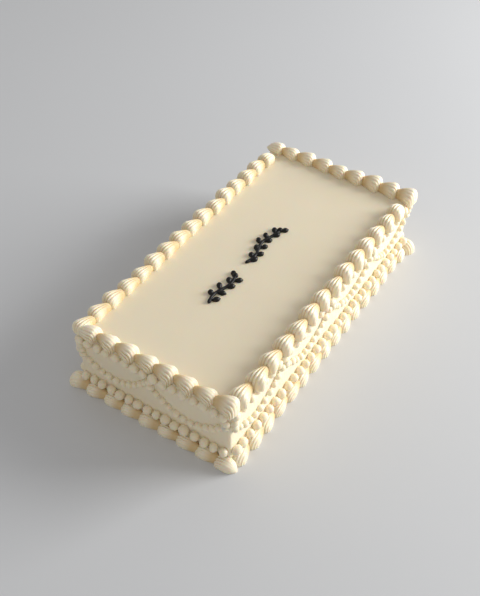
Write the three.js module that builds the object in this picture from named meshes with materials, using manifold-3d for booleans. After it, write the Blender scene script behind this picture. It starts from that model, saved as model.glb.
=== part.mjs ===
// A rectangular wedding cake, iced smooth in ivory buttercream. A border of piped shells runs
// round the top edge and another round the foot, each with a row of round beads on the wall
// beside it. Strings of smaller beads hang between them in swags, and two sprigs piped in black
// icing lie on the top. Millimetres, +Z up, +X along the cake, -Y its front.
import * as THREE from 'three';
import { mergeVertices } from 'three/addons/utils/BufferGeometryUtils.js';
import Module from 'manifold-3d';

const wasm = await Module();
wasm.setup();

// ---------------------------------------------------------------- driving dimensions
const cakeLength = 315;          // the iced block of a 12 by 6 inch cake
const cakeWidth = 152;
const cakeHeight = 64;
const cornerRadius = 2.5;        // upright edges of the iced block
const joinGap = 0.3;             // space left between pieces that touch

const shellLength = 30;          // head to the tip of the tail, which the next head partly covers
const topInset = {               // middle lines of the runs of the top border, inside the walls
  leftEnd: 4.8, rightEnd: 0.8, front: 1.4, backStart: 2.6, backEnd: 1.4,
};
const footReach = 9.8;           // how far the foot border stands out from the wall
const footTop = 10.4;            // its height, under the beads

const topBeadRadius = 4.0;       // round beads on the wall, two to a shell
const topBeadHeight = 59.4;
const footBeadRadius = 4.4;
const footBeadHeight = 15.4;
const beadOutset = 2.4;          // middle of a round bead, outside the wall
const longBeads = 32;            // beads in a row on a long wall and on a short one
const shortBeads = 16;

const swagBeadRadius = 3.1;      // beads of the swags
const swagBeadPitch = 7.4;
const swagBeadOutset = 0.9;
const swagStart = 48;            // height of a swag's left end
const swagEnd = 54;              // and of its right end, close under the row of round beads
const swagSag = 20;              // how far its middle hangs below the line between them
const fatBead = 1.3;             // the bead at its left end, times the others
const longSwags = 4;             // swags on a long wall and on a short one
const shortSwags = 2;

const sprigLineRadius = 1.5;     // black icing, piped through a small round nozzle
const sprigLeafLength = 9.5;
const sprigLeafRadius = 2.6;

// ---------------------------------------------------------------- icing colours
const ivoryIcing = new THREE.MeshStandardMaterial({ color: 0xf0e4c8, roughness: 0.55, metalness: 0 });
const blackIcing = new THREE.MeshStandardMaterial({ color: 0x0d0c0c, roughness: 0.28, metalness: 0 });

// ---------------------------------------------------------------- helpers
const point = (x, y) => new THREE.Vector2(x, y);
const radians = THREE.MathUtils.degToRad;

// A value between -1 and 1 that is always the same for the same piece.
function uneven(piece, quality) {
  const wave = Math.sin(piece * 12.9898 + quality * 78.233) * 43758.5453;
  return 2 * (wave - Math.floor(wave)) - 1;
}

// One closed solid from a three.js shape, with its shared corners merged.
function solidOf(geometry) {
  const bare = geometry.clone();
  bare.deleteAttribute('normal');
  bare.deleteAttribute('uv');
  const merged = mergeVertices(bare, 1e-4);
  const corners = [];
  for (let i = 0; i < merged.index.count; i += 3) {
    const [a, b, c] = [0, 1, 2].map((k) => merged.index.getX(i + k));
    if (a !== b && b !== c && c !== a) corners.push(a, b, c);
  }
  return new wasm.Manifold(new wasm.Mesh({
    numProp: 3,
    vertProperties: new Float32Array(merged.attributes.position.array),
    triVerts: new Uint32Array(corners),
  }));
}

// Joins neighbours in pairs until one solid is left.
function joined(solids) {
  let row = solids;
  while (row.length > 1) {
    const next = [];
    for (let i = 0; i < row.length; i += 2) {
      next.push(i + 1 < row.length ? row[i].add(row[i + 1]) : row[i]);
    }
    row = next;
  }
  return row[0];
}

function meshOf(name, solid, material) {
  const { vertProperties, triVerts } = solid.getMesh();
  const geometry = new THREE.BufferGeometry();
  geometry.setAttribute('position', new THREE.BufferAttribute(new Float32Array(vertProperties), 3));
  geometry.setIndex(new THREE.BufferAttribute(new Uint32Array(triVerts), 1));
  geometry.computeVertexNormals();
  const mesh = new THREE.Mesh(geometry, material);
  mesh.name = name;
  return mesh;
}

// ---------------------------------------------------------------- the iced block
function blockSolid() {
  const x = cakeLength / 2;
  const y = cakeWidth / 2;
  const r = cornerRadius;
  const outline = new THREE.Shape();
  outline.moveTo(-x + r, -y);
  outline.lineTo(x - r, -y);
  outline.absarc(x - r, -y + r, r, -Math.PI / 2, 0);
  outline.lineTo(x, y - r);
  outline.absarc(x - r, y - r, r, 0, Math.PI / 2);
  outline.lineTo(-x + r, y);
  outline.absarc(-x + r, y - r, r, Math.PI / 2, Math.PI);
  outline.lineTo(-x, -y + r);
  outline.absarc(-x + r, -y + r, r, Math.PI, 1.5 * Math.PI);
  return solidOf(new THREE.ExtrudeGeometry(outline, {
    depth: cakeHeight, bevelEnabled: false, curveSegments: 3,
  }));
}

// ---------------------------------------------------------------- piped shells
// A shell swells fast to its widest share and is drawn out into a tail. The blunter its head, the
// squarer its front. A tail power of 1 is a straight tail, and a larger one is fuller.
const topShell = { widest: 0.22, blunt: 2.7, tailWidth: 1.15, tailHeight: 1.6 };
const footShell = { widest: 0.34, blunt: 2.1, tailWidth: 1.5, tailHeight: 2.2 };

// How large a shell is, from 0 to 1, at a share of its length from the front of its head.
function swellAt(share, form, tailPower) {
  if (share <= 0 || share >= 1) return 0;
  if (share < form.widest) return (1 - (1 - share / form.widest) ** form.blunt) ** (1 / form.blunt);
  return 1 - ((share - form.widest) / (1 - form.widest)) ** tailPower;
}

// A round, flattened where it lies: the section of the top border.
function topSection(run) {
  const low = radians(-28);
  const sides = 6;
  const rise = run.height / (1 - Math.sin(low));
  return Array.from({ length: sides + 1 }, (_, i) => {
    const angle = low + ((Math.PI - 2 * low) * i) / sides;
    return point(run.halfWidth * Math.cos(angle), rise * (Math.sin(angle) - Math.sin(low)));
  });
}

// A quarter round that leans on the wall: the section of the foot border, outside at -X.
function footSection() {
  const low = radians(-14);
  const sides = 3;
  const flatTop = 2.6;
  const rise = footTop / (1 - Math.sin(low));
  const arc = Array.from({ length: sides + 1 }, (_, i) => {
    const angle = low + ((Math.PI / 2 - low) * i) / sides;
    return point(-flatTop - (footReach - flatTop) * Math.cos(angle),
      rise * (Math.sin(angle) - Math.sin(low)));
  });
  return [...arc, point(-joinGap, footTop), point(-joinGap, 0)];
}

// Where along a shell the run is measured, from the crease in front of its head.
const topShares = [0.03, 0.15, 0.38, 0.75];
const footShares = [0.03, 0.2, 0.6];
const tipLength = 3;             // the last tail, past the place of a next head
const tipSize = 0.3;

// How large a shell of a run is, beside the run's middle size: the first one may be fatter, and
// a run may grow towards its end or dwindle.
function shellSize(run, shell) {
  const growth = (run.growth ?? 0) * ((2 * shell) / (run.shells - 1) - 1);
  return (1 + growth + 0.05 * uneven(run.key + shell, 1)) * (shell ? 1 : run.firstSize);
}

// The rings of a run: how far along it each one is and how large. Each head lies on the tail
// before it, so a ring is as large as the larger of the two.
function ringsOf(run, form, shares) {
  const length = run.start.distanceTo(run.end);
  const pitch = (length - tipLength) / run.shells;
  const swell = (share, tailPower) => swellAt(share, form, tailPower);
  const rings = [{ along: 0, width: tipSize, height: tipSize, shift: 0 }];
  for (let shell = 0; shell < run.shells; shell += 1) {
    const girth = shellSize(run, shell);
    for (const share of shares) {
      const head = (share * pitch) / shellLength;
      const tail = shell ? head + pitch / shellLength : 0;
      rings.push({
        along: (shell + share) * pitch,
        width: girth * Math.max(swell(head, form.tailWidth), swell(tail, form.tailWidth), tipSize),
        height: girth * Math.max(swell(head, form.tailHeight), swell(tail, form.tailHeight), tipSize),
        shift: 0.5 * uneven(run.key + shell, 5),
      });
    }
  }
  rings.push({ along: length, width: tipSize, height: tipSize, shift: 0 });
  return rings;
}

// A bar of the section from the front of the first head to the last tail, its rings widened and
// narrowed into shells.
function runSolid(run, section, form, shares, base, wallLine, girth = 1) {
  const rings = ringsOf(run, form, shares);
  const bar = new THREE.ExtrudeGeometry(new THREE.Shape(section), {
    steps: rings.length - 1, depth: rings.length - 1, bevelEnabled: false,
  });
  const corners = bar.attributes.position;
  for (let i = 0; i < corners.count; i += 1) {
    const ring = rings[Math.round(corners.getZ(i))];
    const width = girth * ring.width;
    const shift = wallLine === null ? ring.shift : wallLine * (1 - width);
    corners.setXYZ(i, ring.along, corners.getX(i) * width + shift, corners.getY(i) * girth * ring.height);
  }
  const turn = Math.atan2(run.end.y - run.start.y, run.end.x - run.start.x);
  return solidOf(bar.rotateZ(turn).translate(run.start.x, run.start.y, base));
}

// ---------------------------------------------------------------- where the runs lie
const wallX = cakeLength / 2;
const wallY = cakeWidth / 2;
const cornerShell = 1.12;        // the shells at the corners are a little fatter

// Each run starts at the front of its first head and ends at the tip of its last tail. Piped by
// hand, no two runs lie or swell alike.
const topRuns = [
  { name: 'top_border_left_end', key: 100, shells: 8, firstSize: cornerShell, halfWidth: 7.6, height: 11.0,
    start: point(-wallX + topInset.leftEnd, -79.7), end: point(-wallX + topInset.leftEnd, 77.1) },
  { name: 'top_border_right_end', key: 200, shells: 9, firstSize: 1.05, halfWidth: 8.2, height: 11.2,
    growth: -0.12,
    start: point(wallX - topInset.rightEnd, -82.5), end: point(wallX - topInset.rightEnd, 90) },
  { name: 'top_border_front', key: 300, shells: 14, firstSize: 1, halfWidth: 8.4, height: 12.8,
    start: point(-148, -wallY + topInset.front), end: point(143, -wallY + topInset.front) },
  { name: 'top_border_back', key: 400, shells: 16, firstSize: 1, halfWidth: 7.8, height: 10.8,
    growth: 0.06,
    start: point(-159, wallY - topInset.backStart), end: point(147, wallY - topInset.backEnd) },
];
const footRuns = [
  { name: 'foot_border_left_end', key: 500, shells: 9, firstSize: cornerShell,
    start: point(-wallX, 90), end: point(-wallX, -86) },
  { name: 'foot_border_right_end', key: 600, shells: 9, firstSize: cornerShell,
    start: point(wallX, -90), end: point(wallX, 86) },
  { name: 'foot_border_front', key: 700, shells: 16, firstSize: 1,
    start: point(-wallX + joinGap, -wallY), end: point(wallX - joinGap, -wallY) },
  { name: 'foot_border_back', key: 800, shells: 16, firstSize: 1,
    start: point(wallX - joinGap, wallY), end: point(-wallX + joinGap, wallY) },
];

// ---------------------------------------------------------------- beads on the walls
// The walls, each as it is seen from outside, from its left edge to its right one.
const walls = [
  { left: point(-wallX, wallY), right: point(-wallX, -wallY), swags: shortSwags, beads: shortBeads, key: 1000 },
  { left: point(-wallX, -wallY), right: point(wallX, -wallY), swags: longSwags, beads: longBeads, key: 2000 },
  { left: point(wallX, -wallY), right: point(wallX, wallY), swags: shortSwags, beads: shortBeads, key: 3000 },
  { left: point(wallX, wallY), right: point(-wallX, wallY), swags: longSwags, beads: longBeads, key: 4000 },
];

// A dome with its middle a little outside the wall and its foot sunk in it.
const beadSides = 5;
function beadSolid(wall, along, height, radius, outset, key) {
  const foot = -outset - 0.8;
  const profile = [
    point(0, foot), point(radius, foot), point(0.66 * radius, 0.75 * radius), point(0, radius),
  ];
  const across = wall.right.clone().sub(wall.left).normalize();
  const spot = wall.left.clone().addScaledVector(across, along);
  return solidOf(new THREE.LatheGeometry(profile, beadSides)
    .rotateY(3 * uneven(key, 7))
    .rotateX(Math.PI)
    .translate(0, -outset, 0)
    .rotateZ(Math.atan2(across.y, across.x))
    .translate(spot.x, spot.y, height));
}

function beadRow(wall, height, radius, key) {
  const length = wall.left.distanceTo(wall.right);
  const pitch = length / wall.beads;
  return Array.from({ length: wall.beads }, (_, i) => beadSolid(
    wall, (i + 0.5) * pitch + 0.3 * uneven(key + i, 8), height + 0.3 * uneven(key + i, 9),
    radius * (1 + 0.05 * uneven(key + i, 6)), beadOutset, key + i,
  ));
}

// A swag hangs in a parabola, its beads evenly spaced along the curve.
function swagPlaces(span, key) {
  const sag = swagSag + 2 * uneven(key, 10);
  const heightAt = (s) => swagStart + (swagEnd - swagStart) * s - sag * (1 - (2 * s - 1) ** 2);
  const curve = Array.from({ length: 25 }, (_, i) => point((span * i) / 24, heightAt(i / 24)));
  const hang = new THREE.SplineCurve(curve);
  const beads = Math.round(hang.getLength() / swagBeadPitch);
  return hang.getSpacedPoints(beads).slice(1, -1);
}

// The swags of one wall, each with a fat bead where it starts.
function swagBeads(wall) {
  const span = wall.left.distanceTo(wall.right) / wall.swags;
  const beads = [];
  for (let swag = 0; swag < wall.swags; swag += 1) {
    const key = wall.key + 200 + 20 * swag;
    swagPlaces(span, key).forEach((place, i) => {
      beads.push({ along: swag * span + place.x, height: place.y, size: 1, key: key + i });
    });
    const edge = Math.max(swag * span, fatBead * swagBeadRadius);
    beads.push({ along: edge, height: swagStart, size: fatBead, key: key + 19 });
  }
  return beads.map((bead) => beadSolid(
    wall, bead.along, bead.height, bead.size * swagBeadRadius * (1 + 0.06 * uneven(bead.key, 6)),
    swagBeadOutset, bead.key,
  ));
}

function icedBlock() {
  return joined([blockSolid(), ...walls.flatMap((wall) => [
    ...beadRow(wall, topBeadHeight, topBeadRadius, wall.key),
    ...beadRow(wall, footBeadHeight, footBeadRadius, wall.key + 100),
    ...swagBeads(wall),
  ])]);
}

// ---------------------------------------------------------------- black sprigs
const sprigs = [
  { name: 'black_sprig_short', from: -70, to: -29, middle: 5, wave: 2.4, turns: 2, leaves: 8 },
  { name: 'black_sprig_long', from: -10, to: 46, middle: 7, wave: -2.4, turns: 2.6, leaves: 11 },
];

// A wavy stem with teardrop leaves to either side and a round bud at its end.
function sprigSolid(sprig) {
  const height = cakeHeight + joinGap + 0.4 * sprigLineRadius;
  const stemAt = (s) => new THREE.Vector3(
    sprig.from + (sprig.to - sprig.from) * s,
    sprig.middle + sprig.wave * Math.sin(sprig.turns * Math.PI * s),
    height,
  );
  const line = new THREE.Shape().absarc(0, 0, sprigLineRadius, 0, 2 * Math.PI);
  const route = new THREE.CatmullRomCurve3(Array.from({ length: 9 }, (_, i) => stemAt(i / 8)));
  const pieces = [solidOf(new THREE.ExtrudeGeometry(line, {
    steps: 9, curveSegments: 2, bevelEnabled: false, extrudePath: route,
  }))];
  const leafProfile = [0, 0.6, 1].map((s) => (
    point(sprigLeafRadius * Math.sin(Math.PI * s ** 1.4), sprigLeafLength * s)
  ));
  leafProfile[2].x = 0;
  for (let i = 0; i < sprig.leaves; i += 1) {
    const root = stemAt((i + 0.6) / sprig.leaves);
    pieces.push(solidOf(new THREE.LatheGeometry(leafProfile, 5)
      .rotateZ(-Math.PI / 2 + (i % 2 ? 0.8 : -0.8))
      .translate(root.x, root.y, root.z)));
  }
  const tip = stemAt(1);
  pieces.push(solidOf(new THREE.IcosahedronGeometry(1.8 * sprigLineRadius, 0)
    .translate(tip.x, tip.y, tip.z)));
  const under = solidOf(new THREE.BoxGeometry(cakeLength, cakeWidth, cakeHeight)
    .translate(0, 0, cakeHeight / 2 + joinGap));
  return joined(pieces).subtract(under);
}

// ---------------------------------------------------------------- the whole cake
const cake = new THREE.Group();
cake.add(meshOf('iced_block', icedBlock(), ivoryIcing));

// The first heads of the front and the back run make room for the left one.
const onTop = cakeHeight + joinGap;
const clearance = 1.14;
const leftAndGap = { ...topRuns[0], end: topRuns[0].end.clone().add(point(0, joinGap)) };
const [leftEnd, rightEnd, front, back] = topRuns.map((run) => (
  runSolid(run, topSection(run), topShell, topShares, onTop, null)
));
const roundTheLeft = runSolid(
  leftAndGap, topSection(leftAndGap), topShell, topShares, onTop - joinGap, null, clearance,
);
const topBorder = [leftEnd, rightEnd, front.subtract(roundTheLeft), back.subtract(roundTheLeft)];
topBorder.forEach((solid, i) => cake.add(meshOf(topRuns[i].name, solid, ivoryIcing)));
for (const run of footRuns) {
  const solid = runSolid(run, footSection(), footShell, footShares, 0, -joinGap);
  cake.add(meshOf(run.name, solid, ivoryIcing));
}
for (const sprig of sprigs) cake.add(meshOf(sprig.name, sprigSolid(sprig), blackIcing));

export default cake;
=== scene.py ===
# %% [markdown]
# # A rectangular wedding cake
#
# The cake is iced smooth in ivory buttercream. Round its top edge and round its foot run
# borders of piped shells, and strings of small round beads hang on its walls. Two sprigs of
# black icing lie on the top. This lesson builds it piece by piece in Blender: the smooth
# icing, the beads, the shells, the sprigs, and then what each of them is made of.
#
# The construction model is loaded first. It is a fixed frame: it says where every piece is
# and how large it may be, and each piece made here stands in for one of its solids.

import math

import bmesh
import bpy
from mathutils import Matrix, Vector, noise


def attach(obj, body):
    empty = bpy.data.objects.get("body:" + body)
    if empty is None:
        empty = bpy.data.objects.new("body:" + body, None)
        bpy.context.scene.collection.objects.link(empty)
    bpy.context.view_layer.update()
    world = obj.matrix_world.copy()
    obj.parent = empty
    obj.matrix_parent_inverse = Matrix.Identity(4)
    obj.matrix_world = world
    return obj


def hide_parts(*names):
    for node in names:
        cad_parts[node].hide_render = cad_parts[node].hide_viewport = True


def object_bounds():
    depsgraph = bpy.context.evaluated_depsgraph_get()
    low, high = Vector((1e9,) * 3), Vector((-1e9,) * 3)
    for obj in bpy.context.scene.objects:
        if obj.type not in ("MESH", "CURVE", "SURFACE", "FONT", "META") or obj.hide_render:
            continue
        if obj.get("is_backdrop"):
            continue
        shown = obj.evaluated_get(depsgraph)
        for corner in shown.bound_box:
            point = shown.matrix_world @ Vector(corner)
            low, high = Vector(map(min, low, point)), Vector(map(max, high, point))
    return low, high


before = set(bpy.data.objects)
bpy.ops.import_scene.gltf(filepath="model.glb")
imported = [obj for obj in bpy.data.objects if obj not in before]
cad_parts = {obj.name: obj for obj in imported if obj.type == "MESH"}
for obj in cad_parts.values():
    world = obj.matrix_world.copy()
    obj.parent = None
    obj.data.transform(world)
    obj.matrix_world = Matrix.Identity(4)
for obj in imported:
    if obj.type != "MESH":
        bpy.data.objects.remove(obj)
cad_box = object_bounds()
print("solids in the frame:", sorted(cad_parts))

# %% [markdown]
# ## Sizes
#
# All sizes are real ones. A baker would give them in millimetres, so they are written that
# way and turned into Blender's metres by one factor. They are those that the frame was drawn
# with, or close to them, so the pieces fall in the same places.

# %% Driving sizes
MM = 0.001
hair = 0.001 * MM                # closer than this counts as the same place
cake_length = 315 * MM
cake_width = 152 * MM
cake_height = 64 * MM
wall_x = cake_length / 2
wall_y = cake_width / 2

shell_length = 30 * MM           # head to the tip of the tail
foot_half_width = 7.0 * MM
foot_height = 11.2 * MM
foot_outset = 2.5 * MM           # middle line of the foot border, outside the wall

print(f"iced block {cake_length / MM:.0f} x {cake_width / MM:.0f} x {cake_height / MM:.0f} mm")

# %% [markdown]
# ## Even, but not too even
#
# Hand piping never repeats itself exactly. Every piece has a number, and this small function
# turns a piece's number into a value between -1 and 1 that looks random but is the same each
# time the script runs. A second number tells apart what is being varied, such as its size or
# its lean.

# %% A repeatable unevenness
def uneven(piece, quality):
    """A value between -1 and 1 that is always the same for the same piece and quality."""
    wave = math.sin(piece * 12.9898 + quality * 78.233) * 43758.5453    # odd numbers that scatter
    return 2 * (wave - math.floor(wave)) - 1


def lumpy(place, size, depth, key=0):
    """Soft dents of a given size: how far a surface falls back at a place, up to a depth."""
    apart = Vector((1.7 * key % 97, 0, 0))         # another part of the noise for each piece
    return depth * (0.8 * noise.noise(place / size + apart) - 1) / 2


def ease(value, low, high):
    """A soft step from 0 at a low value to 1 at a high one."""
    share = min(1.0, max(0.0, (value - low) / (high - low)))
    return share * share * (3 - 2 * share)


print("uneven values:", [round(uneven(number, 1), 2) for number in range(6)])

# %% [markdown]
# Every piece is modelled as a bmesh. This helper turns it into an object, says which solids of the
# frame it stands in for, and makes it ride on the cake.

# %% From a bmesh to a piece of the cake
def make_piece(bm, name, nodes):
    """Turns a finished bmesh into an object that rides on the cake in place of its solids."""
    mesh = bpy.data.meshes.new(name)
    bm.to_mesh(mesh)
    bm.free()
    piece = bpy.data.objects.new(name, mesh)
    bpy.context.scene.collection.objects.link(piece)
    mesh.shade_smooth()
    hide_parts(*nodes)
    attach(piece, "root")
    low = [min(corner[i] for corner in piece.bound_box) / MM for i in range(3)]
    high = [max(corner[i] for corner in piece.bound_box) / MM for i in range(3)]
    print(f"{name}: {len(mesh.polygons)} faces,", [round(v, 1) for v in low + high])
    return piece


# %% [markdown]
# ## The smooth icing
#
# The iced block is one plain box, but a spatula leaves it a little soft: its upright edges
# are rounded, and no wall is perfectly flat. It starts as a cube, gets its edges from the
# bevel operator, and is then cut into small squares so that each corner of a square can be
# moved in or out by a fraction of a millimetre.

# %% Model the iced block
corner_radius, corner_steps = 2.5 * MM, 5
rim_radius, rim_steps = 1.2 * MM, 3
icing_cell = 3.2 * MM            # size of the squares it is cut into
icing_wave = 26 * MM             # how long the soft waves of the spatula are
icing_depth = 0.28 * MM
wave_from = 4 * MM               # below this height the waves fade, so that the foot is level


def cut_across(bm, axis, low, high, step):
    """Cuts the mesh along evenly spaced planes across one axis."""
    normal = Vector([1.0 if i == axis else 0.0 for i in range(3)])
    cuts = round((high - low) / step)
    for i in range(1, cuts):
        at = normal * (low + (high - low) * i / cuts)
        geometry = bm.verts[:] + bm.edges[:] + bm.faces[:]
        bmesh.ops.bisect_plane(bm, geom=geometry, plane_co=at, plane_no=normal)


def iced_block():
    """The smooth iced box, with soft corners and slightly wavy faces."""
    bm = bmesh.new()
    bmesh.ops.create_cube(bm, size=1.0)
    bmesh.ops.scale(bm, verts=bm.verts, vec=(cake_length, cake_width, cake_height))
    bmesh.ops.translate(bm, verts=bm.verts, vec=(0, 0, cake_height / 2))
    uprights = [e for e in bm.edges if abs(e.verts[0].co.z - e.verts[1].co.z) > hair]
    bmesh.ops.bevel(bm, geom=uprights, offset=corner_radius, segments=corner_steps, profile=0.5,
                    affect="EDGES", material=-1)
    rim = [e for e in bm.edges if min(v.co.z for v in e.verts) > cake_height - hair]
    bmesh.ops.bevel(bm, geom=rim, offset=rim_radius, segments=rim_steps, profile=0.5,
                    affect="EDGES", material=-1)
    cut_across(bm, 0, -wall_x + corner_radius, wall_x - corner_radius, icing_cell)
    cut_across(bm, 1, -wall_y + corner_radius, wall_y - corner_radius, icing_cell)
    cut_across(bm, 2, 0, cake_height - rim_radius, icing_cell)
    bm.normal_update()
    for vert in bm.verts:
        if vert.co.z > 0:
            fade = min(1.0, vert.co.z / wave_from)
            vert.co += vert.normal * fade * lumpy(vert.co, icing_wave, icing_depth)
    return make_piece(bm, "smooth_icing", ["iced_block"])


smooth_icing = iced_block()

# %% [markdown]
# ## Round beads
#
# A bead is what a small round nozzle leaves when it touches the wall, swells and is pulled
# away: a ball, a little flat or long, often with a small peak to one side. There are hundreds
# of them, so each one is a small icosphere of few faces. One mesh holds a whole row.
#
# The walls are listed as they are seen from outside, from left edge to right edge, and every
# bead is placed by how far along its wall it sits and how high.

# %% Walls and beads
walls = [
    {"left": (-wall_x, wall_y), "right": (-wall_x, -wall_y), "swags": 2, "beads": 16, "key": 1000},
    {"left": (-wall_x, -wall_y), "right": (wall_x, -wall_y), "swags": 4, "beads": 32, "key": 2000},
    {"left": (wall_x, -wall_y), "right": (wall_x, wall_y), "swags": 2, "beads": 16, "key": 3000},
    {"left": (wall_x, wall_y), "right": (-wall_x, wall_y), "swags": 4, "beads": 32, "key": 4000},
]


def wall_axes(wall):
    """The left edge, the length, and the directions along and out of a wall."""
    left = Vector((*wall["left"], 0))
    right = Vector((*wall["right"], 0))
    along = (right - left).normalized()
    out = Vector((along.y, -along.x, 0))
    return left, (right - left).length, along, out


bead_tall, bead_wide = 0.12, 0.10    # how far a bead may be from round
bead_pull = 0.14                 # how far its small peak is drawn out, as a share of its radius
bead_peak = 5                    # how sharp that peak is
bead_dent = 0.16                 # its soft dents, as a share of its radius


def add_bead(bm, wall, along, height, radius, outset, key):
    """One piped bead, half sunk in the wall."""
    left, _, along_axis, out = wall_axes(wall)
    ball = bmesh.ops.create_icosphere(bm, subdivisions=2, radius=radius)["verts"]
    roll = Matrix.Rotation(2 * uneven(key, 3), 4, "X")
    bmesh.ops.transform(bm, matrix=Matrix.Rotation(3 * uneven(key, 7), 4, "Z") @ roll, verts=ball)
    tall, wide = 1 + bead_tall * uneven(key, 2), 1 + bead_wide * uneven(key, 4)
    peak = 0.5 * out + Vector((0, 0, uneven(key, 12))) + along_axis * uneven(key, 13)
    peak.normalize()
    pull = bead_pull * radius * (1 + uneven(key, 14))
    for vert in ball:
        toward = max(0.0, vert.co.dot(peak) / radius)
        side = vert.co.dot(along_axis)
        vert.co += along_axis * side * (wide - 1) + Vector((0, 0, vert.co.z * (tall - 1)))
        vert.co += peak * pull * toward ** bead_peak
        vert.co *= 1 + lumpy(vert.co, 0.9 * radius, bead_dent, key)
    place = left + along_axis * along + out * outset + Vector((0, 0, height))
    bmesh.ops.translate(bm, verts=ball, vec=place)


print("beads in a row:", [wall["beads"] for wall in walls])

# %% [markdown]
# A row of larger beads is tucked under the top border and another lies on the foot border,
# with about two beads to a shell.

# %% Rows of beads
top_bead_radius = 4.4 * MM
top_bead_height = 60.4 * MM
top_bead_outset = 1.6 * MM       # its middle, outside the wall
foot_bead_radius = 4.6 * MM
foot_bead_height = 15.6 * MM
foot_bead_outset = 2.4 * MM
bead_stray = 0.7 * MM            # how far a bead may be from its place in the row
bead_growth = 0.09               # and from the row's usual size


def bead_row(name, height, radius, outset, key_step):
    """The beads of one row, on all four walls."""
    bm = bmesh.new()
    for wall in walls:
        _, length, _, _ = wall_axes(wall)
        pitch = length / wall["beads"]
        for i in range(wall["beads"]):
            key = wall["key"] + key_step + i
            along = (i + 0.5) * pitch + bead_stray * uneven(key, 8)
            size = radius * (1 + bead_growth * uneven(key, 6))
            add_bead(bm, wall, along, height + bead_stray * uneven(key, 9), size, outset, key)
    return make_piece(bm, name, ["iced_block"])


top_beads = bead_row("beads_under_top_border", top_bead_height, top_bead_radius,
                     top_bead_outset, key_step=0)
foot_beads = bead_row("beads_over_foot_border", foot_bead_height, foot_bead_radius,
                      foot_bead_outset, key_step=100)

# %% [markdown]
# The swags hang between the rows. A hanging string is close to a parabola, so each swag is
# one parabola, and its beads are spaced evenly along the curve and not along the wall. It
# starts low on its left and ends higher up on its right, close under the row of larger beads.

# %% The curve of a swag
swag_bead_radius = 3.5 * MM
swag_bead_pitch = 7.4 * MM
swag_bead_outset = 0.9 * MM
swag_start = 48 * MM
swag_end = 54 * MM
swag_sag = 20 * MM               # how far its middle hangs below the line between its ends
sag_change = 2 * MM              # and how much that differs from swag to swag
string_steps = 240               # straight bits that stand in for the curve


def swag_places(span, key):
    """Points evenly spaced along one hanging string, as (along, height)."""
    sag = swag_sag + sag_change * uneven(key, 10)
    curve = []
    for i in range(string_steps + 1):
        share = i / string_steps
        line = swag_start + (swag_end - swag_start) * share
        curve.append((span * share, line - sag * (1 - (2 * share - 1) ** 2)))
    reach = [0.0]
    for (x0, z0), (x1, z1) in zip(curve, curve[1:]):
        reach.append(reach[-1] + math.hypot(x1 - x0, z1 - z0))
    beads = round(reach[-1] / swag_bead_pitch)
    places = []
    for i in range(1, beads):
        goal = reach[-1] * i / beads
        places.append(curve[next(k for k, r in enumerate(reach) if r >= goal)])
    return places


for wall in walls[:2]:
    width = wall_axes(wall)[1] / wall["swags"]
    strung = len(swag_places(width, wall["key"] + 200))
    print(f"a swag {width / MM:.0f} mm wide has {strung} beads on its string")

# %% [markdown]
# Each swag starts with a fat bead. Where two swags meet, and at the corners, a short drop of
# beads closes the gap.

# %% Hang the swags
swag_stray = 0.4 * MM            # how far a bead may be from its place on the string
swag_growth = 0.10               # and from the usual size
fat_bead = 1.2                   # the bead where it starts, times the others
drop_bead = 1.1                  # the beads of a drop, times the others
drop_gap = 5.6 * MM              # from the bead where it starts to the one above it


def swags():
    """The swags of all four walls."""
    bm = bmesh.new()
    for wall in walls:
        _, length, _, _ = wall_axes(wall)
        span = length / wall["swags"]
        for swag in range(wall["swags"]):
            key = wall["key"] + 200 + 20 * swag
            start = max(swag * span, fat_bead * swag_bead_radius)
            places = [(swag * span + x, z, 1.0) for x, z in swag_places(span, key)]
            places += [(start, swag_start, fat_bead), (start, swag_start + drop_gap, drop_bead)]
            if swag == wall["swags"] - 1:
                edge = length - swag_bead_radius
                places += [(edge, swag_start + drop_gap, drop_bead), (edge, swag_start, 1.0)]
            for i, (along, height, size) in enumerate(places):
                radius = size * swag_bead_radius * (1 + swag_growth * uneven(key + i, 6))
                along += swag_stray * uneven(key + i, 8)
                height += swag_stray * uneven(key + i, 9)
                add_bead(bm, wall, along, height, radius, swag_bead_outset, key + i)
    return make_piece(bm, "swags_of_beads", ["iced_block"])


swag_beads = swags()

# %% [markdown]
# ## Piped shells
#
# A shell is piped with a star nozzle. The icing is squeezed out against the cake, swells
# forwards into a blunt round head, and is drawn back into a pointed tail, which the next head
# then covers. The nozzle's teeth leave ribs that rise from the cake all round the head, roll
# over it and run together in the tail. The nozzle was tipped to one side, so they are crisp on
# that side and round the front, and almost gone on the other side and the tail.
#
# Two curves say how wide and how high a shell is along its length. The head's is a
# superellipse, which can be blunter than a circle. The tail's is a power of the distance
# behind the widest place. A shell of the top border rises steeply, keeps its height for a
# while and narrows fast, which leaves deep hollows at both sides of the next head. A shell of
# the foot border is rounder, and the last shell of a run shows its whole blunt end.
#
# A sphere's rows would meet in a pole at the front, which no piped shell has. So a flat grid
# is bent into the shell instead. One direction of the grid runs along the ribs, from the foot
# of the head over its crown to the tail. The other runs across them. At the head the rows lie
# flat and are tipped up like the pages of a book until they stand upright, and from there
# they shrink towards the tail. The ribs are pressed into the grid as it is bent.

# %% The outline of one shell
ribs = 11
steps_per_rib = 8
head_rows = 12
tail_rows = 14
head_part = head_rows / (head_rows + tail_rows)
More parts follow.
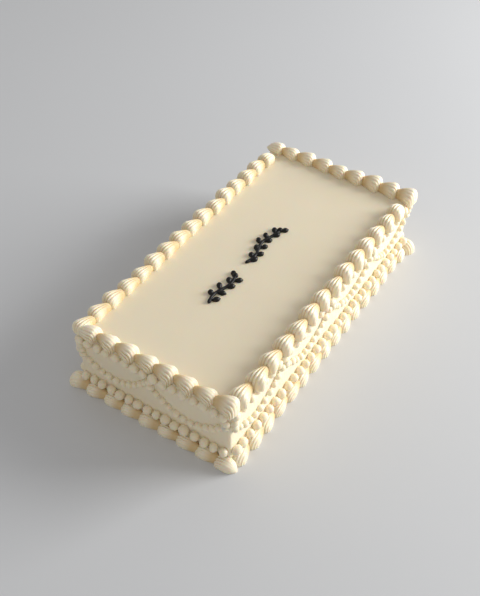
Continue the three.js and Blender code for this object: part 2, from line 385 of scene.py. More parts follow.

# widest: the share of its length where a shell is widest and highest
# blunt: the head's front, where 2 is round and more is squarer
# tail_width, tail_height: how the tail narrows and falls, where 1 is straight and more is fuller
# shade_to: the last UV row that gets painted crease shade, and a last shell has no crease behind
# it
top_shell = {"widest": 0.22, "blunt": 2.7, "tail_width": 0.9, "tail_height": 1.6, "shade_to": 1}
last_top_shell = {"tail_width": 2.4, "tail_height": 2.4, "shade_to": head_part}
foot_shell = {"widest": 0.34, "blunt": 2.1, "tail_width": 1.1, "tail_height": 2.2, "shade_to": 1}
last_foot_shell = {"widest": 0.38, "tail_width": 3.5, "tail_height": 3.5, "ribbed": 1.2,
                   "shade_to": head_part}


def row_of(v, run):
    """A row's place along the shell, its width and height, and how it leans and stands."""
    widest = run["widest"]
    if v < head_part:
        tip = math.pi / 2 * (1 - v / head_part)
        lean, stand = math.sin(tip) ** (2 / run["blunt"]), math.cos(tip) ** (2 / run["blunt"])
        return widest, 1.0, 1.0, lean, stand
    past = (v - head_part) / (1 - head_part)
    wide, high = 1 - past ** run["tail_width"], 1 - past ** run["tail_height"]
    return widest + (1 - widest) * past, wide, high, 0.0, 1.0


for name, form in (("top", top_shell), ("foot", foot_shell)):
    rows = [row_of(v, form) for v in (head_part, 0.6, 0.8)]
    print(f"{name} shell, widths from head to tail:", [round(row[1], 2) for row in rows])

# %% [markdown]
# The ribs need a rule of their own. They are bold on the side that the nozzle leaned on and
# fade across the shell and along its tail, and no two are quite as deep.

# %% How bold the ribs are
rib_depth = 0.105                # depth of a groove, as a share of the section
rib_round = 1.1                  # 1 is a sharp groove between round ribs, more is wider
rib_change = 0.3                 # how much one rib's depth differs from the next
rib_fade_across = 0.88           # how much of the ribs is gone on the smooth side
rib_fade_along = 0.85            # and on the tail
smooth_from = 0.02               # where that fading starts, as a share behind the widest place


def rib_strength(u, share, run):
    """How crisp the ribs are across a shell (u) and at a share of its length."""
    across = 1 - rib_fade_across * ease(u, run["ribs_fade"][0], run["ribs_fade"][1])
    along = 1 - rib_fade_along * ease(share, run["widest"] + smooth_from, run["ribs_end"])
    return across * along


print(f"a groove goes {100 * rib_depth:.1f}% into the section, times how bold a run's ribs are")

# %% [markdown]
# A point of the grid goes through four steps. Its row says how far along the shell it lies. Its
# place across the ribs is an angle round the section, which turns under a little at both ends,
# so that a shell meets the cake as a round thing does. A groove pulls it inwards. Last come a
# lean to one side and a few soft dents.

# %% Bend a grid into a ribbed shell
section_low = math.radians(-28)  # where the section meets the cake, below its widest point
head_spread = 1.2 * MM           # how far forward the lowest ribs start
side_lean = 0.12                 # how far a shell may lean to a side, as a share of its height
side_dent = 0.7                  # how deep its dents are on its sides, beside those on its crown


def shell_point(u, v, run, length, girth, key):
    """Where the point (u, v) of the flat grid comes to lie, u across the ribs, v along them."""
    share, wide, high, lean, stand = row_of(v, run)
    angle = section_low + (math.pi - 2 * section_low) * u
    groove = 1 - abs(math.sin(math.pi * ribs * u)) ** rib_round
    change = 1 + rib_change * uneven(key + math.floor(u * ribs), 12)
    swell = 1 - run["ribbed"] * rib_depth * rib_strength(u, share, run) * change * groove
    rise = swell * (math.sin(angle) - math.sin(section_low)) / (1 - math.sin(section_low))
    x = length * share - ((length * run["widest"] - head_spread) * rise + head_spread) * lean
    z = girth * run["height"] * high * rise * stand
    lean_over = side_lean * uneven(key, 11) * z
    y = girth * run["half_width"] * wide * swell * math.cos(angle) + lean_over
    place = Vector((x, y, z))
    dent = lumpy(place, run["lump_size"], run["lumps"], key)
    inward = Vector((0, side_dent * math.cos(angle) * dent, stand * dent))
    return place + rise * min(wide, high) * inward


def add_shell(bm, placed, run, length, girth, key):
    """One ribbed shell, its base closed, moved to its place by a matrix."""
    grid = bmesh.ops.create_grid(bm, x_segments=ribs * steps_per_rib,
                                 y_segments=head_rows + tail_rows, size=0.5)
    uv_layer = bm.loops.layers.uv.verify()
    spots = {vert: (vert.co.x + 0.5, vert.co.y + 0.5) for vert in grid["verts"]}
    for face in {f for vert in spots for f in vert.link_faces}:
        for loop in face.loops:
            u, v = spots[loop.vert]
            # the UV rows carry the painted crease shade only up to shade_to
            loop[uv_layer].uv = (u * ribs, min(v, run["shade_to"]))
    for vert, (u, v) in spots.items():
        vert.co = placed @ shell_point(u, v, run, length, girth, key)
    bmesh.ops.remove_doubles(bm, verts=grid["verts"], dist=hair)
    rim = [edge for edge in bm.edges if edge.is_boundary]
    bmesh.ops.edgeloop_fill(bm, edges=rim)


print("faces in a shell, without its base:", ribs * steps_per_rib * (head_rows + tail_rows))

# %% [markdown]
# A border is a run of shells from a start to an end, with every head lying on the tail before
# it. The overlaps would leave hidden walls inside the icing. So the odd and the even shells
# are made as two meshes, in which no shell touches another, and one Boolean union melts the
# two into a single skin with crisp creases, as on the cake.

# %% Place the shells of a run
last_tail = 3 * MM               # the last tail, past the place of a next head
along_stray = 0.5 * MM           # how far a shell may be from its place along the run
girth_change = 0.05              # how far its girth may be from the run's own
yaw_stray = math.radians(4)      # how far it may be turned aside
yaw_about = 9 * MM               # it turns about its middle, this far behind its front
end_gap = 1 * MM                 # from the last tail's tip to the end of the run


def shell_place(run, shell, pitch, turn):
    """Where the front of a shell's head is, and which way it points, as a matrix."""
    key = run["key"] + shell
    along = shell * pitch + along_stray * uneven(key, 13)
    across = run["outset"] + run["stray"] * uneven(key, 5)
    start = Matrix.Translation((*run["start"], run["base"])) @ Matrix.Rotation(turn, 4, "Z")
    yaw = Matrix.Rotation(run["yaw"] + yaw_stray * uneven(key, 14), 4, "Z")
    middle = Matrix.Translation((max(along, 0) + yaw_about, across, 0))
    return start @ middle @ yaw @ Matrix.Translation((-yaw_about, 0, 0))


def half_run(run, odd):
    """Every other shell of a run, as one object."""
    start, end = Vector(run["start"]), Vector(run["end"])
    pitch = ((end - start).length - last_tail) / run["shells"]
    turn = math.atan2(end.y - start.y, end.x - start.x)
    bm = bmesh.new()
    for shell in range(odd, run["shells"], 2):
        key = run["key"] + shell
        growth = run["growth"] * (2 * shell / (run["shells"] - 1) - 1)
        first = 1 if shell else run["first_size"]
        girth = (1 + growth + girth_change * uneven(key, 1)) * first
        length = min(shell_length, (end - start).length - shell * pitch - end_gap)
        form = {**run, **run["last"]} if shell == run["shells"] - 1 else run
        add_shell(bm, shell_place(run, shell, pitch, turn), form, length, girth, key)
    bmesh.ops.recalc_face_normals(bm, faces=bm.faces)
    mesh = bpy.data.meshes.new("half_run")
    bm.to_mesh(mesh)
    bm.free()
    return bpy.data.objects.new("half_run", mesh)


print(f"shells are {shell_length / MM:.0f} mm long, foot shells {foot_height / MM:.1f} mm high")

# %% [markdown]
# The union is made by a modifier, because its solver takes two closed skins and gives one back.
# The creases where shells meet stay sharp, and everything else is shaded smooth.

# %% Melt a run into one skin
crease_angle = math.radians(50)
print(f"edges sharper than {math.degrees(crease_angle):.0f} degrees stay creases")


def piped_run(run):
    """A whole border along one side, its shells melted into one skin."""
    halves = [half_run(run, 0), half_run(run, 1)]
    for half in halves:
        bpy.context.scene.collection.objects.link(half)
    joint = halves[0].modifiers.new("joint", "BOOLEAN")
    joint.operation = "UNION"
    joint.solver = "MANIFOLD"
    joint.object = halves[1]
    graph = bpy.context.evaluated_depsgraph_get()
    mesh = bpy.data.meshes.new_from_object(halves[0].evaluated_get(graph))
    for half in halves:
        bpy.data.objects.remove(half)
    bm = bmesh.new()
    bm.from_mesh(mesh)
    bpy.data.meshes.remove(mesh)
    piece = make_piece(bm, run["name"] + "_shells", [run["name"]])
    piece.data.set_sharp_from_angle(angle=crease_angle)
    return piece


# %% [markdown]
# The two borders are piped in different ways. The shells of the top border are steep and
# almost round, and those of the foot border are lower, fuller and softer. What all shells of a
# border have in common goes into one form.

# %% The forms of the two borders
sunk = 0.4 * MM                  # how deep the border sits in the soft icing
lifted = 0.3 * MM                # how far its solids stand over the icing


# outset, stray: the shells' middle line beside the run's own, and how far one may be off it
# growth, yaw: how much larger the shells get along the run, and how far all are turned aside
# ribbed, ribs_fade, ribs_end: how bold the ribs are, where they fade across a shell and along it
# lumps, lump_size: how deep its soft dents are, and how wide
def top_form(half_width, height, growth=0.0, yaw=0.0, ribbed=1.0, fade=(0.38, 0.62), ends=0.62):
    """What the top border's shells share, with the size and the ribs that a run has."""
    return {"outset": 0, "stray": 0.5 * MM, "base": cake_height - sunk,
            "half_width": half_width * MM, "height": height * MM + lifted + sunk,
            "growth": growth, "yaw": math.radians(yaw), "ribbed": ribbed, "ribs_fade": fade,
            "ribs_end": ends, "lumps": 0.8 * MM, "lump_size": 7 * MM, "last": last_top_shell,
            **top_shell}


foot_form = {"outset": -foot_outset, "stray": 0.2 * MM, "base": 0,
             "half_width": foot_half_width, "height": foot_height, "growth": 0.0, "yaw": 0.0,
             "ribbed": 0.5, "ribs_fade": (0.9, 1.0), "ribs_end": 0.5,
             "lumps": 2.0 * MM, "lump_size": 5 * MM, "last": last_foot_shell, **foot_shell}
print("values in the form of a border:", len(foot_form))

# %% [markdown]
# Each run starts at the front of its first head and ends at the tip of its last tail. The
# shells at the corners are a little fatter, because the hand slows down there, and no two
# runs come out alike. The one on the left end lies further in and has ribs on its outer side
# alone, the one on the right end dwindles towards the back and is almost smooth, and the
# shells of the back one are piped at a slant.

# %% Pipe the top and the foot border
corner_size = 1.12               # the first shell at a corner, times the others
far_corner_size = 1.05
left_x = wall_x - 4.8 * MM       # middle lines of the top border, inside the walls
right_x = wall_x - 0.8 * MM
front_y = wall_y - 1.4 * MM
back_start_y, back_end_y = wall_y - 2.6 * MM, wall_y - 1.4 * MM


def one_run(name, key, shells, first_size, start, end, form):
    """A run: its node, its number, how many shells it has, where it lies and their form."""
    return {"name": name, "key": key, "shells": shells, "first_size": first_size,
            "start": start, "end": end, **form}


# node, number, shells, first size, start, end, form
runs = [
    one_run("top_border_left_end", 100, 8, corner_size,
            (-left_x, -79.7 * MM), (-left_x, 77.1 * MM),
            top_form(7.6, 11.0, ribbed=1.7, fade=(0.22, 0.42), ends=0.46)),
    one_run("top_border_right_end", 200, 9, far_corner_size,
            (right_x, -82.5 * MM), (right_x, 90 * MM),
            top_form(8.2, 11.2, growth=-0.12, ribbed=0.4)),
    one_run("top_border_front", 300, 14, 1,
            (-148 * MM, -front_y), (143 * MM, -front_y),
            top_form(8.4, 12.8, ribbed=1.4, fade=(0.45, 0.7), ends=0.75)),
    one_run("top_border_back", 400, 16, 1,
            (-159 * MM, back_start_y), (147 * MM, back_end_y),
            top_form(7.8, 10.8, growth=0.06, yaw=-10, ribbed=1.5, fade=(0.5, 0.75), ends=0.9)),
    one_run("foot_border_left_end", 500, 9, corner_size,
            (-wall_x, 90 * MM), (-wall_x, -86 * MM), foot_form),
    one_run("foot_border_right_end", 600, 9, corner_size,
            (wall_x, -90 * MM), (wall_x, 86 * MM), foot_form),
    one_run("foot_border_front", 700, 16, 1, (-wall_x, -wall_y), (wall_x, -wall_y), foot_form),
    one_run("foot_border_back", 800, 16, 1, (wall_x, wall_y), (-wall_x, wall_y), foot_form),
]
borders = [piped_run(each) for each in runs]

# %% [markdown]
# ## Black sprigs
#
# The sprigs are piped with a small round nozzle, so every part of them is a stroke: a round
# bar that is fat where the hand dwells and thin where it hurries. A stroke starts as a circle
# whose edge is extruded again and again along its route, and each new ring is turned and
# scaled to fit.

# %% Sweep a stroke
stroke_sides = 12
leaf_steps, stem_steps = 14, 48  # rings along a leaf and along a stem


def ring_frame(route, i, radius):
    """The place, direction and size of a ring of the stroke, as a matrix."""
    ahead = route[min(i + 1, len(route) - 1)] - route[max(i - 1, 0)]
    heading = math.atan2(ahead.y, ahead.x)
    upright = Matrix.Rotation(heading, 4, "Z") @ Matrix.Rotation(math.pi / 2, 4, "Y")
    return Matrix.Translation(route[i]) @ upright @ Matrix.Diagonal((radius, radius, radius, 1))


def add_stroke(bm, route, thickness):
    """A bar along a route, its radius at a share of its length given by thickness(share)."""
    frames = [ring_frame(route, i, thickness(i / (len(route) - 1))) for i in range(len(route))]
    ring = bmesh.ops.create_circle(bm, segments=stroke_sides, radius=1, matrix=frames[0])["verts"]
    edges = list({edge for vert in ring for edge in vert.link_edges})
    bmesh.ops.contextual_create(bm, geom=edges)
    for before, after in zip(frames, frames[1:]):
        made = bmesh.ops.extrude_edge_only(bm, edges=edges)["geom"]
        ring = [item for item in made if isinstance(item, bmesh.types.BMVert)]
        edges = [item for item in made if isinstance(item, bmesh.types.BMEdge)]
        bmesh.ops.transform(bm, matrix=after @ before.inverted(), verts=ring)
    bmesh.ops.contextual_create(bm, geom=edges)


print("rings along a leaf and along a stem:", leaf_steps + 1, stem_steps + 1)

# %% [markdown]
# A leaf starts at the stem, is pressed out fat and is drawn to a point. Its route bends a
# little, and no two leaves are quite as long.

# %% Pipe a leaf
leaf_length = 9.5 * MM
leaf_radius = 2.6 * MM
leaf_change = 0.10               # how much one leaf's length differs from the next
leaf_bend = 0.35                 # radians that a leaf bends at most
leaf_fat = 1.4                   # 1 is fattest in its middle, more is nearer its tip
leaf_tip = 0.15 * MM


def add_leaf(bm, root, lean, key):
    """A teardrop leaf: pressed out fat and drawn to a point, with a slight bend."""
    length = leaf_length * (1 + leaf_change * uneven(key, 1))
    bend = leaf_bend * uneven(key, 2)
    route = []
    for i in range(leaf_steps + 1):
        share = i / leaf_steps
        turn = lean + bend * share
        route.append(root + length * share * Vector((math.cos(turn), math.sin(turn), 0)))
    add_stroke(bm, route, lambda s: max(leaf_tip, leaf_radius * math.sin(math.pi * s ** leaf_fat)))


print(f"a leaf is about {leaf_length / MM:.1f} mm long and {2 * leaf_radius / MM:.1f} mm wide")

# %% [markdown]
# Where strokes cross, wet icing flows together. A voxel remesh does the same. It fills the
# strokes with small cubes and draws one skin round them, and two passes of smoothing take away
# the steps that the cubes leave. A flat cut then sets the sprig down on the cake.

# %% Melt the strokes
sprig_voxel = 0.3 * MM
melt_passes = 2
print(f"sprigs are melted from cubes of {sprig_voxel / MM:.1f} mm")


def melted(bm, name, node):
    """Melts overlapping strokes into one skin and sets it flat on the cake."""
    bmesh.ops.recalc_face_normals(bm, faces=bm.faces)
    mesh = bpy.data.meshes.new(name)
    bm.to_mesh(mesh)
    bm.free()
    rough = bpy.data.objects.new(name, mesh)
    bpy.context.scene.collection.objects.link(rough)
    melt = rough.modifiers.new("melt", "REMESH")
    melt.mode = "VOXEL"
    melt.voxel_size = sprig_voxel
    graph = bpy.context.evaluated_depsgraph_get()
    skin = bpy.data.meshes.new_from_object(rough.evaluated_get(graph))
    bpy.data.objects.remove(rough)
    bm = bmesh.new()
    bm.from_mesh(skin)
    for _ in range(melt_passes):
        bmesh.ops.smooth_vert(bm, verts=bm.verts, factor=0.5, use_axis_x=True, use_axis_y=True,
                              use_axis_z=True)
    geometry = bm.verts[:] + bm.edges[:] + bm.faces[:]
    bmesh.ops.bisect_plane(bm, geom=geometry, plane_co=(0, 0, cake_height - sunk / 2),
                           plane_no=(0, 0, 1), clear_inner=True)
    bmesh.ops.holes_fill(bm, edges=[edge for edge in bm.edges if edge.is_boundary])
    return make_piece(bm, name, [node])


# %% [markdown]
# Now a whole sprig can be piped. Its stem waves a little and ends in a round bud, and its leaves
# stand to its left and right in turn, as they are piped by hand.

# %% Pipe a sprig
stem_radius = 1.5 * MM
stem_change = 0.08               # how much its thickness pulses, as the hand does
stem_pulse = 31                  # radians of that pulse along the stem
leaf_lean = 0.8                  # radians from the cake's length
bud_size = 1.8                   # the bud, times the stem
leaf_place = 0.6                 # where a leaf sits in its own share of the stem
sprig_height = cake_height + lifted + 0.4 * stem_radius     # the middle line of the stem


def stem_thickness(share):
    """The radius of a stem at a share of its length: thin at its start, with a slight pulse."""
    pulse = 1 + stem_change * math.sin(stem_pulse * share)
    return stem_radius * pulse * min(1, 0.5 + 20 * share)


def sprig(name, node, start, end, middle, wave, turns, leaves, key):
    """A wavy stem with leaves to either side and a round bud at its tip."""
    def stem_at(share):
        return Vector((start + (end - start) * share,
                       middle + wave * math.sin(turns * math.pi * share), sprig_height))
    bm = bmesh.new()
    add_stroke(bm, [stem_at(i / stem_steps) for i in range(stem_steps + 1)], stem_thickness)
    for i in range(leaves):
        lean = leaf_lean if i % 2 else -leaf_lean
        add_leaf(bm, stem_at((i + leaf_place) / leaves), lean, key + i)
    bud = Matrix.Translation(stem_at(1))
    bmesh.ops.create_icosphere(bm, subdivisions=3, radius=bud_size * stem_radius, matrix=bud)
    return melted(bm, name, node)


sprigs = [
    sprig("short_sprig", "black_sprig_short", start=-70 * MM, end=-29 * MM, middle=5 * MM,
          wave=2.4 * MM, turns=2, leaves=8, key=5000),
    sprig("long_sprig", "black_sprig_long", start=-10 * MM, end=46 * MM, middle=7 * MM,
          wave=-2.4 * MM, turns=2.6, leaves=11, key=5100),
]

# %% [markdown]
# ## Buttercream
#
# Buttercream is butter beaten with sugar. It is ivory because the butter is yellow, and light
# sinks a few millimetres into it before it comes out, which softens shadows. Its creases get a
# deeper yellow as painted shade. It has a satin gloss, fine pores and sugar grain, and the marks
# of the tool that spread it. Everything is built from noise on the cake's own coordinates, so that
# it stays in place from every side.

# %% Small helpers for material nodes
def new_material(name):
    """An empty node material with one Principled shader, its node tree and its shader."""
    material = bpy.data.materials.new(name)
    material.use_nodes = True
    tree = material.node_tree
    return material, tree, tree.nodes["Principled BSDF"]


def node(tree, kind, settings=(), **inputs):
    """Adds a node, with its settings and the values or links of its inputs."""
    made = tree.nodes.new(kind)
    for name, value in dict(settings).items():
        setattr(made, name, value)
    for name, value in inputs.items():
        label = int(name[1:]) if name[1:].isdigit() else name.replace("_", " ")
        socket = made.inputs[label]
        if isinstance(value, bpy.types.NodeSocket):
            tree.links.new(value, socket)
        else:
            socket.default_value = value
    return made


# %% [markdown]
# With these two, the patterns that icing needs are short: noise with lumps of a real size, a
# colour between two, a value brought into another range, and relief of a real depth.

# %% Helpers for noise, colour and relief
def noise_at(tree, place, size, detail=3.0):
    """Noise whose lumps have a real size, from 0 to 1."""
    made = node(tree, "ShaderNodeTexNoise", Vector=place, Scale=1 / size, Detail=detail)
    return made.outputs["Fac"]


def stretched(tree, place, scale):
    """The cake's coordinates, stretched along one way for marks that run that way."""
    return node(tree, "ShaderNodeMapping", Vector=place, Scale=scale).outputs["Vector"]


def blend(tree, share, first, second):
    """A colour between two, by a share from 0 to 1."""
    made = node(tree, "ShaderNodeMix", {"data_type": "RGBA"}, Factor=share)
    for socket, value in ((made.inputs[6], first), (made.inputs[7], second)):
        if isinstance(value, bpy.types.NodeSocket):
            tree.links.new(value, socket)
        else:
            socket.default_value = (*value, 1)
    return made.outputs[2]


def between(tree, value, low, high, to_low=0.0, to_high=1.0):
    """Rescales a value from one range to another."""
    made = node(tree, "ShaderNodeMapRange")
    tree.links.new(value, made.inputs["Value"])
    ends = {"From Min": low, "From Max": high, "To Min": to_low, "To Max": to_high}
    for name, number in ends.items():
        made.inputs[name].default_value = number
    return made.outputs["Result"]


def bump(tree, height, depth, before=None):
    """Bends the surface's normal by a height of a real depth, on top of another bump."""
    made = node(tree, "ShaderNodeBump", Height=height, Distance=depth, Strength=1.0)
    if before is not None:
        tree.links.new(before, made.inputs["Normal"])
    return made.outputs["Normal"]


# %% [markdown]
# The smooth and the piped icing come out of one bowl. Both are a pale ivory that turns deeper in
# soft clouds, with painted shade that turns it deeper on upright sides. Both have the same patchy
# satin gloss and let light in to the same depth. Apart from the painted crease shade of the piped
# icing, only the pale ivory and the relief differ.

# %% What both buttercreams share
# deep ivory colours the soft clouds and is also the painted shade on upright sides
deep_ivory_and_side_shade = (0.93, 0.815, 0.60)
# painted side shade starts where the upward part of the normal falls below the first value and is
# full below the second
flat_top, upright_side = 0.8, 0.1    # the upward part of the normal of each
cloud_size = 34 * MM             # of the soft clouds in its colour
cloud_share = 0.5                # how much they count beside the deeper sides
gloss_size = 9 * MM              # of the patches that shine more or less
noise_low, noise_high = 0.3, 0.7     # Blender's noise seldom leaves this range
satin = (0.44, 0.56)             # the roughness, from patch to patch
let_in = 0.35                    # the share of the light that sinks in
light_depth = 3.0 * MM           # and how far
depth_by_color = (1.0, 0.62, 0.30)   # the red, green and blue part of it, as shares of that
fat_ior = 1.45
print(f"light sinks {light_depth / MM:.0f} mm into the icing, whose deep ivory is {deep_ivory_and_side_shade}")


def buttercream(name, pale_ivory):
    """What both buttercreams share: ivory in soft clouds, painted shade that deepens upright
    sides, and a satin gloss.
    """
    material, tree, shader = new_material(name)
    place = node(tree, "ShaderNodeTexCoord").outputs["Object"]
    clouds = noise_at(tree, place, cloud_size)
    facing = node(tree, "ShaderNodeNewGeometry").outputs["Normal"]
    upward = node(tree, "ShaderNodeSeparateXYZ", Vector=facing)
    # painted shade on upright sides, which stands in for the shade that falls on them
    side = between(tree, upward.outputs["Z"], flat_top, upright_side)
    sum_up = {"operation": "MULTIPLY_ADD"}
    # soft clouds and painted side shade added together
    clouds_and_side_shade = node(tree, "ShaderNodeMath", sum_up, _0=clouds, _1=cloud_share, _2=side)
    color = blend(tree, between(tree, clouds_and_side_shade.outputs[0], 0.1, 1.4), pale_ivory, deep_ivory_and_side_shade)
    gloss = noise_at(tree, place, gloss_size)
    roughness = between(tree, gloss, noise_low, noise_high, *satin)
    tree.links.new(roughness, shader.inputs["Roughness"])
    shader.inputs["Subsurface Weight"].default_value = let_in
    shader.inputs["Subsurface Radius"].default_value = depth_by_color
    shader.inputs["Subsurface Scale"].default_value = light_depth
    shader.inputs["IOR"].default_value = fat_ior
    return material, tree, shader, place, color


# %% [markdown]
# Icing that was spread flat, or piped through a round nozzle, has a fine grain and the faint
# streaks of the spatula, which run along the cake.

# %% Smooth buttercream
spread_ivory = (0.89, 0.79, 0.59)
streak_size, streak_depth = 3 * MM, 0.10 * MM
along_the_cake = (0.12, 1, 1)    # a streak is about eight times as long as it is wide
spread_grain, grain_depth = 0.7 * MM, 0.03 * MM


def smooth_buttercream():
    """Icing spread flat: faint streaks along the cake, and a fine grain."""
    material, tree, shader, place, color = buttercream("smooth_buttercream", spread_ivory)
    tree.links.new(color, shader.inputs["Base Color"])
    streaks = noise_at(tree, stretched(tree, place, along_the_cake), streak_size)
    grain = noise_at(tree, place, spread_grain)
    normal = bump(tree, streaks, streak_depth)
    tree.links.new(bump(tree, grain, grain_depth, normal), shader.inputs["Normal"])
    return material


smooth = smooth_buttercream()
spread_pieces = [smooth_icing, top_beads, foot_beads, swag_beads]
for piece in spread_pieces:
    piece.data.materials.append(smooth)
print("smooth buttercream on", len(spread_pieces), "pieces, its pale ivory", spread_ivory)

# %% [markdown]
# Piped icing gets painted shade. A deeper yellow is painted into the grooves between its ribs,
# which leaves the ribs paler, and the deepest yellow is painted into the crease where the next
# head covers a tail, where shade falls. The grid that a shell was bent from carries this: one
# direction of its UV map counts the ribs, the other its rows from the head to the tail.

# %% Piped buttercream
piped_ivory = (0.95, 0.85, 0.655)
# the colour of the painted shade in the grooves between ribs and in the crease behind each head
painted_shade_yellow = (0.70, 0.50, 0.23)
tail_crease = head_part + 0.38 * (1 - head_part)     # the row of a tail that the next head covers
valley_start = head_part + 0.02 * (1 - head_part)    # where the shade of that crease begins
groove_half = 0.25                                   # half a groove's width, in ribs
# how strong the painted shade is in a groove and in the crease
painted_groove_shade, painted_crease_shade = 0.5, 0.85               # how yellow a groove and the crease are
smooth_side = (0.35 * ribs, 0.6 * ribs)              # between these ribs the grooves pale
pale_across, pale_along = 0.15, 0.2                  # and what is left there and on the tail
drag_size, drag_depth = 1.3 * MM, 0.10 * MM          # the roughness that the teeth leave
piped_grain = 0.5 * MM


def piped_buttercream():
    """Icing pressed through teeth: painted shade in the grooves and the crease, and rough on the
    ribs.
    """
    material, tree, shader, place, color = buttercream("piped_buttercream", piped_ivory)
    grid_place = node(tree, "ShaderNodeTexCoord").outputs["UV"]
    across = node(tree, "ShaderNodeSeparateXYZ", Vector=grid_place)
    # painted groove shade, darkest in the middle of each groove between ribs
    wave = node(tree, "ShaderNodeMath", {"operation": "PINGPONG"}, _0=across.outputs["X"], _1=0.5)
    ribbed = between(tree, across.outputs["X"], *smooth_side, 1.0, pale_across)
    lines = node(tree, "ShaderNodeMath", {"operation": "MULTIPLY"}, _1=ribbed,
                 _0=between(tree, wave.outputs[0], groove_half, 0.0, 0.0, painted_groove_shade))
    faded = between(tree, across.outputs["Y"], head_part, tail_crease, 1.0, pale_along)
    # painted groove shade, faded across the smooth side and along the tail
    groove = node(tree, "ShaderNodeMath", {"operation": "MULTIPLY"}, _0=lines.outputs[0], _1=faded)
    # painted crease shade, from where a tail starts to where the next head covers it
    valley = between(tree, across.outputs["Y"], valley_start, tail_crease, 0.0, painted_crease_shade)
    larger = {"operation": "MAXIMUM"}
    # the stronger of the painted groove shade and the painted crease shade
    yellow = node(tree, "ShaderNodeMath", larger, _0=valley, _1=groove.outputs[0])
    shaded_color = blend(tree, yellow.outputs[0], color, painted_shade_yellow)
    tree.links.new(shaded_color, shader.inputs["Base Color"])
    drag = noise_at(tree, place, drag_size)
    grain = noise_at(tree, place, piped_grain)
    normal = bump(tree, drag, drag_depth)
    tree.links.new(bump(tree, grain, grain_depth, normal), shader.inputs["Normal"])
    return material


piped = piped_buttercream()
for piece in borders:
    piece.data.materials.append(piped)
print("piped buttercream on", len(borders), "pieces, its pale ivory", piped_ivory)

# %% [markdown]
# The sprigs are piped from icing that is dyed a deep black. It keeps a satin gloss, so the
# light still draws their round edges.

# %% Black icing
darkest, lighter = (0.004, 0.0035, 0.0035), (0.010, 0.009, 0.009)
black_cloud, black_gloss = 5 * MM, 2 * MM            # of its patches of colour and of shine
black_satin = (0.34, 0.52)
black_dent, black_dent_depth = 1.2 * MM, 0.06 * MM
black_shine = 0.3


def black_icing():
    """Icing dyed black: a deep satin black, with soft dents."""
    material, tree, shader = new_material("black_icing")
    place = node(tree, "ShaderNodeTexCoord").outputs["Object"]
    cloud = noise_at(tree, place, black_cloud)
    color = blend(tree, cloud, darkest, lighter)
    tree.links.new(color, shader.inputs["Base Color"])
    gloss = noise_at(tree, place, black_gloss)
    roughness = between(tree, gloss, noise_low, noise_high, *black_satin)
    tree.links.new(roughness, shader.inputs["Roughness"])
    dents = noise_at(tree, place, black_dent)
    tree.links.new(bump(tree, dents, black_dent_depth), shader.inputs["Normal"])
    shader.inputs["Specular IOR Level"].default_value = black_shine
    return material


black = black_icing()
for piece in sprigs:
    piece.data.materials.append(black)
print("black icing on", len(sprigs), "sprigs")

# %% [markdown]
# ## The studio
#
# A pale floor, one wide soft light low on the right, and an even grey sky that fills the
# shadows. The camera looks down on a corner of the cake from about half a metre up.

# %% Floor
floor_size = 3.0
floor_dark, floor_light = (0.635, 0.645, 0.655), (0.655, 0.665, 0.675)
floor_cloud = 0.4


def floor():
    """A wide pale floor that carries nothing but the cake's shadow."""
    bm = bmesh.new()
    bmesh.ops.create_grid(bm, x_segments=8, y_segments=8, size=floor_size)
    mesh = bpy.data.meshes.new("floor")
    bm.to_mesh(mesh)
    bm.free()
    made = bpy.data.objects.new("floor", mesh)
    bpy.context.scene.collection.objects.link(made)
    material, tree, shader = new_material("pale_floor")
    place = node(tree, "ShaderNodeTexCoord").outputs["Object"]
    paper = blend(tree, noise_at(tree, place, floor_cloud), floor_dark, floor_light)
    tree.links.new(paper, shader.inputs["Base Color"])
    shader.inputs["Roughness"].default_value = 0.7
    made.data.materials.append(material)
    made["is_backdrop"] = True


floor()
print(f"the floor reaches {floor_size:.0f} m from the cake")

# %% [markdown]
# The light stands to the right of the camera, low enough to rake over the shells. It is wide,
# so that its shadows have soft edges.

# %% Light
key_direction = Vector((0.70, -0.71, 0)).normalized()
key_rise = math.radians(18.5)
key_distance = 1.9
key_size = 1.1
key_watts = 47.5
sky_grey = (0.90, 0.89, 0.89)
sky_strength = 0.52


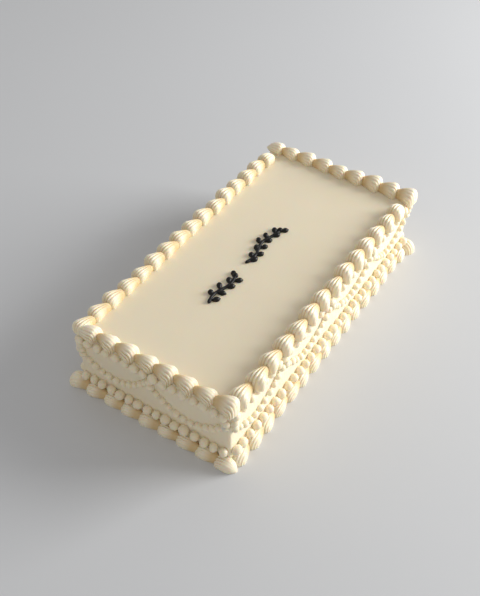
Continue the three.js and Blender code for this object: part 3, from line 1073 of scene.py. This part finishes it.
def key_light():
    """A wide soft light, low on the right, aimed at the cake."""
    lamp = bpy.data.lights.new("key", "AREA")
    lamp.energy = key_watts
    lamp.shape = "SQUARE"
    lamp.size = key_size
    made = bpy.data.objects.new("key", lamp)
    bpy.context.scene.collection.objects.link(made)
    toward = key_direction * math.cos(key_rise) + Vector((0, 0, math.sin(key_rise)))
    made.location = toward * key_distance
    made.rotation_euler = toward.to_track_quat("Z", "Y").to_euler()


def sky():
    """An even grey light from all round."""
    world = bpy.data.worlds.new("sky")
    bpy.context.scene.world = world
    world.use_nodes = True
    background = world.node_tree.nodes["Background"]
    background.inputs["Color"].default_value = (*sky_grey, 1)
    background.inputs["Strength"].default_value = sky_strength


key_light()
sky()
bpy.context.scene.view_settings.view_transform = "Standard"
print(f"light {key_size} m wide, {math.degrees(key_rise):.1f} degrees above the floor")

# %% [markdown]
# The camera's place and lens were worked out from long straight edges, which lean towards each
# other the further off they are.

# %% Camera
camera_place = Vector((-453.2, -274.7, 539.3)) * MM
camera_heading = math.radians(-57.09)
camera_dip = math.radians(44.65)
camera_roll = math.radians(0.70)
camera_lens = 47.84


def camera():
    """The camera, turned to its heading, dipped towards the cake and rolled a little."""
    lens = bpy.data.cameras.new("camera")
    lens.lens = camera_lens
    lens.clip_start = 0.01
    made = bpy.data.objects.new("camera", lens)
    bpy.context.scene.collection.objects.link(made)
    turn = (Matrix.Rotation(camera_heading, 4, "Z")
            @ Matrix.Rotation(math.pi / 2 - camera_dip, 4, "X")
            @ Matrix.Rotation(camera_roll, 4, "Z"))
    made.matrix_world = Matrix.Translation(camera_place) @ turn
    bpy.context.scene.camera = made


camera()
print(f"camera {camera_place.z:.2f} m up, {camera_place.length:.2f} m from the cake's foot")

# %% [markdown]
# ## Done
#
# Last, the box of the dressed cake is printed beside the box of the solids.

# %% Print both boxes and finish
visual_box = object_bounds()
for label, (low, high) in (("solids", cad_box), ("pieces", visual_box)):
    print(label, [round(c / MM, 1) for c in low], [round(c / MM, 1) for c in high])
